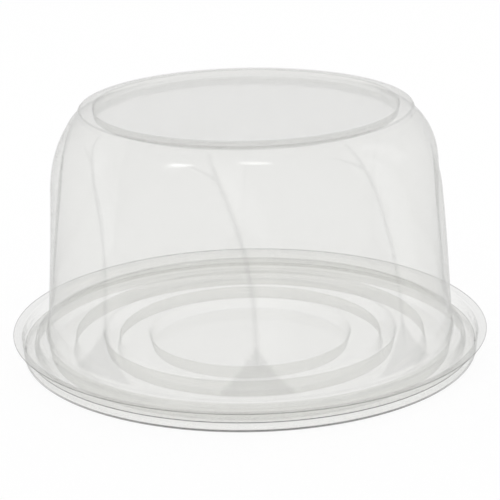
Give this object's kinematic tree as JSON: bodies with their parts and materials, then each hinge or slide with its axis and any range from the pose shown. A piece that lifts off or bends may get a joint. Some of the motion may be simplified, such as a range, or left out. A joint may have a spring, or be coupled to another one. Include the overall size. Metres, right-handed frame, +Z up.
{
  "type": "cake container",
  "caption": "Round cake carrier: a shallow clear tray with stepped rings and a tall fluted clear dome that drops over its seat and lifts straight off.",
  "frame": {"origin": "centre of the tray's foot, on the surface it stands on", "axes": "+Z up along the container's axis, -Y towards the front of the picture, +X to its right"},
  "size_m": [0.2667, 0.2666, 0.1403],
  "materials": {
    "tray_sheet": "gloss clear thermoformed sheet",
    "dome_sheet": "gloss clear thermoformed sheet"
  },
  "bodies": {
    "tray": {"base_tray": "tray_sheet"},
    "dome": {"dome_lid": "dome_sheet"}
  },
  "joints": [
    {"name": "lid_lift", "type": "slide", "parent": "tray", "child": "dome", "axis": [0, 0, 1], "range_m": [0, 0.16]}
  ]
}
